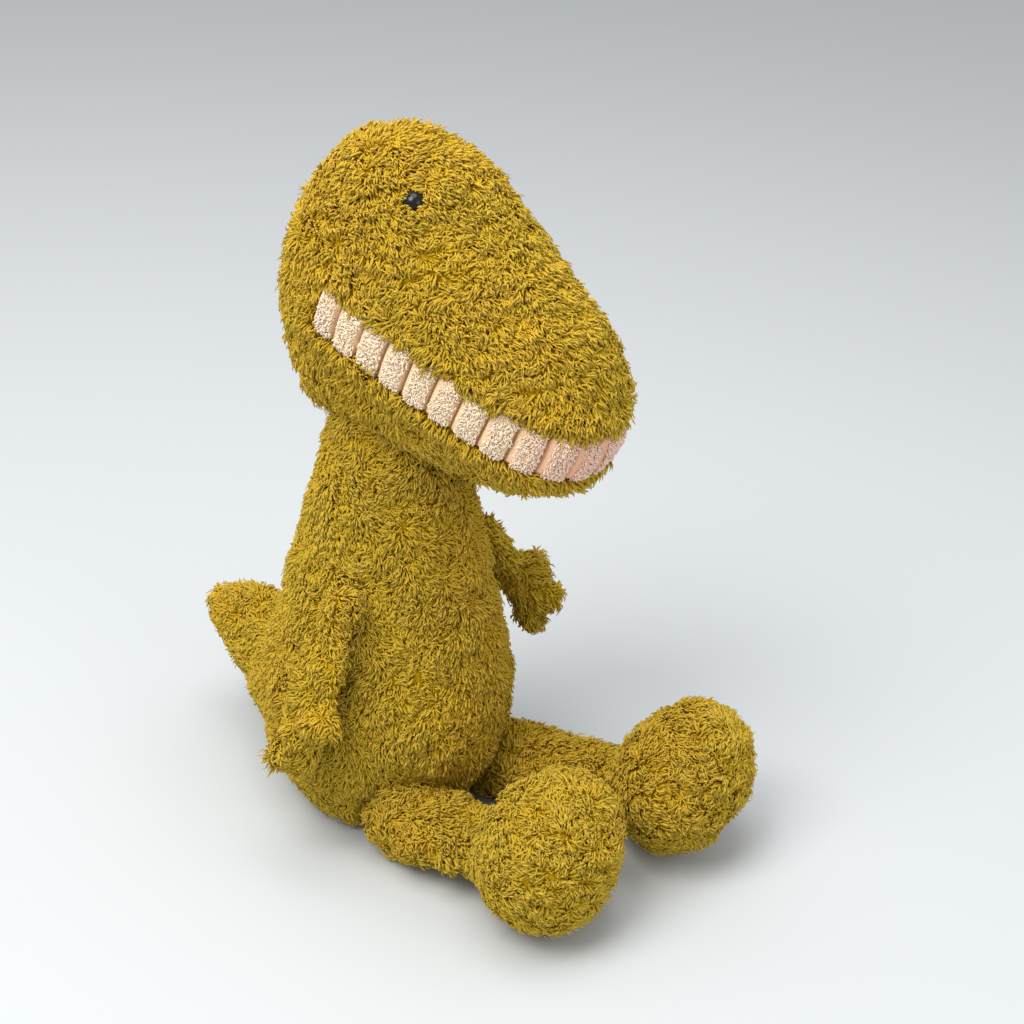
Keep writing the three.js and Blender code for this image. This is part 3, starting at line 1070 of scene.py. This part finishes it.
def rib_paint():
    """The cloth of the ribs: peach in the grooves, turning brown at their bottoms as painted shade, with a
    fine weave.
    """
    paint = Paint("tooth_cloth", roughness=0.8, specular=0.2)
    # brown deep in the grooves: painted shade in the creases between the ribs
    rib = paint.ramp(paint.attribute("groove"), [(0.3, (0.84, 0.60, 0.38)), (0.95, (0.50, 0.26, 0.12))])
    front = paint.mix(1.0, rib, (1.0, 0.78, 0.82), "MULTIPLY")
    weave = paint.noise(0.35 * MM, detail=1)
    patched = paint.mix(paint.attribute("patch"), rib, front)
    paint.colour(paint.brighten(patched, paint.map(weave, 0.86, 1.12)))
    paint.bump(weave, 0.5, 0.15 * MM)
    return paint.material


def bead_paint():
    """Polished black, with the faint haze of handling."""
    paint = Paint("bead", roughness=0.1, specular=0.35)
    haze = paint.noise(1.2 * MM)
    paint.colour(paint.ramp(haze, [(0.3, (0.004, 0.004, 0.005)), (0.8, (0.010, 0.009, 0.008))]))
    paint.link(paint.map(haze, 0.06, 0.2), paint.shader.inputs["Roughness"])
    return paint.material


def washer_paint():
    """Milky moulded plastic with a fine matte grain."""
    paint = Paint("washer_plastic", roughness=0.5, specular=0.4)
    grain = paint.noise(0.6 * MM)
    paint.colour(paint.ramp(grain, [(0.3, (0.76, 0.76, 0.74)), (0.7, (0.84, 0.84, 0.82))]))
    paint.bump(grain, 0.2, 0.05 * MM)
    return paint.material


def thread_paint():
    """Twisted sewing thread."""
    paint = Paint("thread", roughness=0.6, specular=0.3)
    twist = paint.nodes.new("ShaderNodeTexWave")
    twist.inputs["Scale"].default_value = 900
    twist.inputs["Distortion"].default_value = 1.5
    place = paint.nodes.new("ShaderNodeTexCoord")
    paint.link(place.outputs["Object"], twist.inputs["Vector"])
    paint.colour(paint.ramp(twist.outputs["Fac"], [(0.2, (0.10, 0.075, 0.008)), (0.8, (0.22, 0.17, 0.03))]))
    paint.bump(twist.outputs["Fac"], 0.6, 0.1 * MM)
    return paint.material


paints = {name: make() for name, make in (
    ("plush", plush_paint), ("backing", backing_paint), ("nap", nap_paint), ("ribs", rib_paint),
    ("bead", bead_paint), ("washer", washer_paint), ("thread", thread_paint))}

# --- neck stitches ------------------------------------------------------------

STITCHES = 44
STITCH_LENGTH = 3.6 * MM
STITCH_RADIUS = 0.45 * MM
STITCH_RISE = 0.5 * MM
STITCH_SLANT = 0.8
STITCH_POINTS = 7
STITCH_END = 0.6  # how thick its ends are, as a share of its middle
OUTSIDE_NECK = 0.1


def neck_stitches():
    """A ring of small slanted stitches on the neck, where the hand-sewn seam runs."""
    ring_low, ring_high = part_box("neck_seam")
    middle = (ring_low + ring_high) / 2
    stitches = bmesh.new()
    for k in range(STITCHES):
        angle = 2 * math.pi * k / STITCHES
        outward = Vector((math.cos(angle), math.sin(angle), 0))
        place, normal, _, _ = surfaces["body"].tree.ray_cast(middle + outward * OUTSIDE_NECK, -outward)
        slant = Vector((-math.sin(angle), math.cos(angle), STITCH_SLANT)).normalized()
        path = []
        for share in np.linspace(-1, 1, STITCH_POINTS):
            bow = normal * (STITCH_RISE * (1 - share * share) - STITCH_RADIUS)
            path.append(place + slant * (share * STITCH_LENGTH / 2) + bow)
        tube(stitches, path, normal)
    ring = object_of("neck_stitches", stitches)
    shade_smooth(ring.data)
    return ring


def tube(shape, path, up, sides=6):
    """Adds a closed tube along a short path."""
    rings = []
    for i, place in enumerate(path):
        ahead = (path[min(i + 1, len(path) - 1)] - path[max(i - 1, 0)]).normalized()
        across = ahead.cross(up).normalized()
        over = across.cross(ahead)
        radius = STITCH_RADIUS * (STITCH_END if i in (0, len(path) - 1) else 1)
        turns = [2 * math.pi * k / sides for k in range(sides)]
        rings.append([shape.verts.new(place + (across * math.cos(a) + over * math.sin(a)) * radius)
                      for a in turns])
    for low, high in zip(rings, rings[1:]):
        for k in range(sides):
            shape.faces.new((low[k], low[(k + 1) % sides], high[(k + 1) % sides], high[k]))
    shape.faces.new(rings[0][::-1])
    shape.faces.new(rings[-1])


stitches = neck_stitches()

# --- what each piece rides on and stands for ----------------------------------


def dress(piece, paint, nodes=()):
    """Gives the piece its material, and hides the nodes that it stands for."""
    piece.data.materials.append(paints[paint])
    if nodes:
        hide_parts(*nodes)


def blend_tail(piece):
    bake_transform(piece)


def blend_ankle(piece):
    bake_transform(piece)


for name, (piece, body) in pile.items():
    dress(piece, "plush")
    if name == "tail_pile" or name.startswith("back_pile_lower"):
        blend_tail(piece)
    elif name.startswith(("leg_pile", "foot_pile", "sole_pile")):
        blend_ankle(piece)
    else:
        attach(piece, body)

dress(body_skin, "backing", body_nodes)
blend_tail(body_skin)
dress(head_skin, "backing", [node for node in head_nodes if node != "tooth_band"])
dress(tooth_ribs, "ribs", ["tooth_band"])
dress(nap, "nap")
dress(stitches, "thread", ["neck_seam"])
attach(stitches, "neck")
for side in SIDES:
    dress(arm_skin[side], "backing", arm_nodes[side])
    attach(arm_skin[side], f"arm_{side}")
    dress(leg_skin[side], "backing", leg_nodes[side])
    blend_ankle(leg_skin[side])
    dress(eye_beads[side], "bead", [f"eye_{side}"])
    washer = frame["nodes"][f"eye_washer_{side}"]
    washer.data.materials.clear()
    washer.data.materials.append(paints["washer"])
for piece in (head_skin, tooth_ribs, nap, *eye_beads.values()):
    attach(piece, "head")

# --- stage, lights and camera -------------------------------------------------

CAMERA_AZIMUTH = -55
CAMERA_ELEVATION = 27.5
CAMERA_ROLL = 3.4
CAMERA_DISTANCE = 0.700
CAMERA_TARGET = Vector((0.0244, -0.0438, 0.1435))
CAMERA_LENS = 59.8


def add_camera():
    azimuth = math.radians(CAMERA_AZIMUTH)
    elevation = math.radians(CAMERA_ELEVATION)
    back = Vector((math.sin(azimuth) * math.cos(elevation),
                   -math.cos(azimuth) * math.cos(elevation),
                   math.sin(elevation)))
    camera = bpy.data.objects.new("camera", bpy.data.cameras.new("camera"))
    bpy.context.scene.collection.objects.link(camera)
    camera.data.lens = CAMERA_LENS
    camera.location = CAMERA_TARGET + back * CAMERA_DISTANCE
    upright = (-back).to_track_quat("-Z", "Y").to_matrix()
    camera.rotation_euler = (upright @ Matrix.Rotation(math.radians(CAMERA_ROLL), 3, "Z")).to_euler()
    camera.data.clip_start = 0.01
    bpy.context.scene.camera = camera


def add_softbox(name, place, target, size, power, colour):
    lamp = bpy.data.lights.new(name, "AREA")
    lamp.shape = "DISK"
    lamp.size = size
    lamp.energy = power
    lamp.color = colour
    box = bpy.data.objects.new(name, lamp)
    bpy.context.scene.collection.objects.link(box)
    box.location = place
    box.rotation_euler = (Vector(target) - Vector(place)).to_track_quat("-Z", "Y").to_euler()


def add_floor():
    size = 4.0
    mesh = bpy.data.meshes.new("floor")
    corners = [(-size, -size, 0), (size, -size, 0), (size, size, 0), (-size, size, 0)]
    mesh.from_pydata(corners, [], [(0, 1, 2, 3)])
    floor = add_object("floor", mesh)
    paint = Paint("floor_paint", roughness=0.9)
    paint.shader.inputs["Base Color"].default_value = (0.56, 0.60, 0.64, 1)
    mesh.materials.append(paint.material)


def add_sky():
    world = bpy.data.worlds.new("studio")
    world.use_nodes = True
    world.node_tree.nodes["Background"].inputs["Color"].default_value = (1.0, 0.98, 0.95, 1)
    world.node_tree.nodes["Background"].inputs["Strength"].default_value = 0.66
    bpy.context.scene.world = world


add_camera()
add_floor()
add_sky()
add_softbox("key", (-0.85, 0.1, 1.3), (0, -0.02, 0.12), 0.85, 16.5, (1.0, 0.96, 0.88))
add_softbox("top", (-0.1, 0.0, 1.5), (0, -0.02, 0.12), 1.0, 9, (1.0, 0.98, 0.95))
add_softbox("fill", (-0.2, -1.3, 0.7), (0, 0, 0.12), 0.9, 3, (1.0, 0.97, 0.92))
bpy.context.scene.view_settings.view_transform = "Standard"
